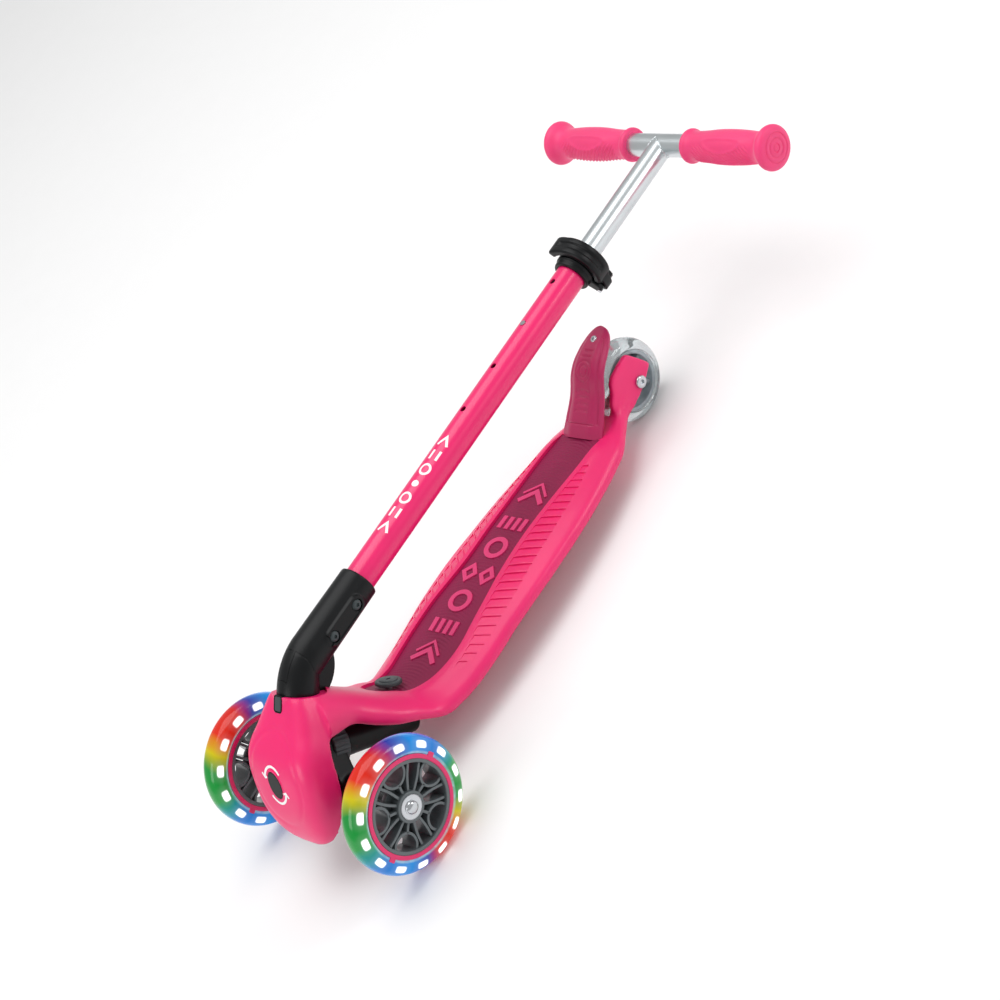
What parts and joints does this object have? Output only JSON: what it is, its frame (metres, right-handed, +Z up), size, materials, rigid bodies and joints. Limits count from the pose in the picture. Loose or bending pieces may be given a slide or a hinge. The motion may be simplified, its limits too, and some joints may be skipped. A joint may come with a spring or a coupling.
{
  "type": "folding kick scooter",
  "caption": "Child's lean-to-steer kick scooter with lit front wheels, composite deck and T-bar folded flat over the deck.",
  "frame": {"origin": "middle of the bounding box at ground level, scooter on its wheels with the T-bar folded back", "axes": "+X to the scooter's left, +Y to the back, +Z up"},
  "size_m": [0.292, 0.7392, 0.1834],
  "materials": {
    "pink_body": "satin moulded composite",
    "pink_tube": "satin paint",
    "pink_rubber": "soft matte",
    "berry_plastic": "satin, textured",
    "black_plastic": "satin",
    "grey_plastic": "satin",
    "core_plastic": "semi-gloss",
    "steel": "zinc plated",
    "aluminium": "satin anodised",
    "clear_tyre": "clear polyurethane",
    "light_band": "lit from inside",
    "elastomer": "matte"
  },
  "bodies": {
    "deck": {"deck_body": "pink_body", "deck_mat": "berry_plastic", "deck_bolt_cap": "grey_plastic", "deck_bolt": "steel", "pivot_arm": "black_plastic", "kingpin": "steel", "kingpin_nut": "steel", "steering_bushing": "elastomer", "hinge_base": "black_plastic", "hinge_pin": "steel", "rear_axle": "steel", "rear_axle_nut": "steel", "rear_washers": "steel", "brake_pin": "steel", "brake_spring": "steel", "lock_spring": "steel", "release_spring": "steel", "steering_lock_spring": "steel"},
    "truck": {"truck": "black_plastic", "truck_bush": "steel", "left_axle_bolt": "steel", "right_axle_bolt": "steel"},
    "left_wheel": {"left_tyre": "clear_tyre", "left_core": "core_plastic", "left_light_band": "light_band", "left_trim_rings": "pink_body", "left_bearings": "steel", "left_spacer": "steel"},
    "right_wheel": {"right_tyre": "clear_tyre", "right_core": "core_plastic", "right_light_band": "light_band", "right_trim_rings": "pink_body", "right_bearings": "steel", "right_spacer": "steel"},
    "rear_wheel": {"rear_tyre": "clear_tyre", "rear_core": "core_plastic", "rear_bearings": "steel", "rear_spacer": "steel"},
    "brake": {"brake_lever": "berry_plastic", "brake_rivet": "steel"},
    "steering_column": {"fold_sleeve": "black_plastic", "sleeve_bolts": "grey_plastic", "lower_tube": "pink_tube", "clamp_collar": "black_plastic", "clamp_pin": "steel"},
    "handlebar": {"upper_tube": "aluminium", "handlebar_tube": "aluminium", "tube_guide": "black_plastic", "snap_button": "steel", "snap_spring": "steel", "left_grip": "pink_rubber", "right_grip": "pink_rubber"},
    "lever": {"clamp_lever": "black_plastic"},
    "release": {"release_button": "grey_plastic"},
    "lock": {"lock_bolt": "steel"},
    "steering_lock": {"steering_lock_button": "black_plastic", "steering_lock_plunger": "steel"}
  },
  "joints": [
    {"name": "truck_lean", "type": "hinge", "parent": "deck", "child": "truck", "pos_m": [0, -0.2831, 0.08], "axis": [0, -0.788, 0.6157], "range_deg": [-12, 12], "stiffness_Nm_per_rad": 40},
    {"name": "left_wheel_spin", "type": "hinge", "parent": "truck", "child": "left_wheel", "pos_m": [0.1008, -0.3091, 0.0605], "axis": [1, 0, 0], "continuous": true},
    {"name": "right_wheel_spin", "type": "hinge", "parent": "truck", "child": "right_wheel", "pos_m": [-0.1008, -0.3091, 0.0605], "axis": [1, 0, 0], "continuous": true},
    {"name": "rear_wheel_spin", "type": "hinge", "parent": "deck", "child": "rear_wheel", "pos_m": [0, 0.1625, 0.04], "axis": [1, 0, 0], "continuous": true},
    {"name": "t_bar_fold", "type": "hinge", "parent": "deck", "child": "steering_column", "pos_m": [0, -0.2581, 0.157], "axis": [1, 0, 0], "range_deg": [0, 79]},
    {"name": "bar_height", "type": "slide", "parent": "steering_column", "child": "handlebar", "axis": [0, 1, 0], "range_m": [-0.1, 0.05], "deforming": ["snap_button"]},
    {"name": "clamp_lever_open", "type": "hinge", "parent": "steering_column", "child": "lever", "pos_m": [0.0155, 0.2019, 0.1325], "axis": [0, 1, 0], "range_deg": [0, 80]},
    {"name": "brake_press", "type": "hinge", "parent": "deck", "child": "brake", "pos_m": [0, 0.0969, 0.038], "axis": [1, 0, 0], "range_deg": [-3.2, 0], "stiffness_Nm_per_rad": 8, "springref_deg": 1.15},
    {"name": "release_press", "type": "slide", "parent": "deck", "child": "release", "axis": [0, 0.6712, -0.7413], "range_m": [0, 0.0025], "stiffness_N_per_m": 600, "deforming": ["release_spring"]},
    {"name": "lock_bolt_slide", "type": "slide", "parent": "deck", "child": "lock", "axis": [0, -0.7071, -0.7071], "range_m": [0, 0.003], "deforming": ["lock_spring"]},
    {"name": "steering_lock_press", "type": "slide", "parent": "deck", "child": "steering_lock", "axis": [0, 0.9135, -0.4067], "range_m": [0, 0.003], "stiffness_N_per_m": 600, "deforming": ["steering_lock_spring"]}
  ],
  "couplings": [
    {"joint": "lock_bolt_slide", "follows": "release_press", "ratio": 1.2}
  ]
}
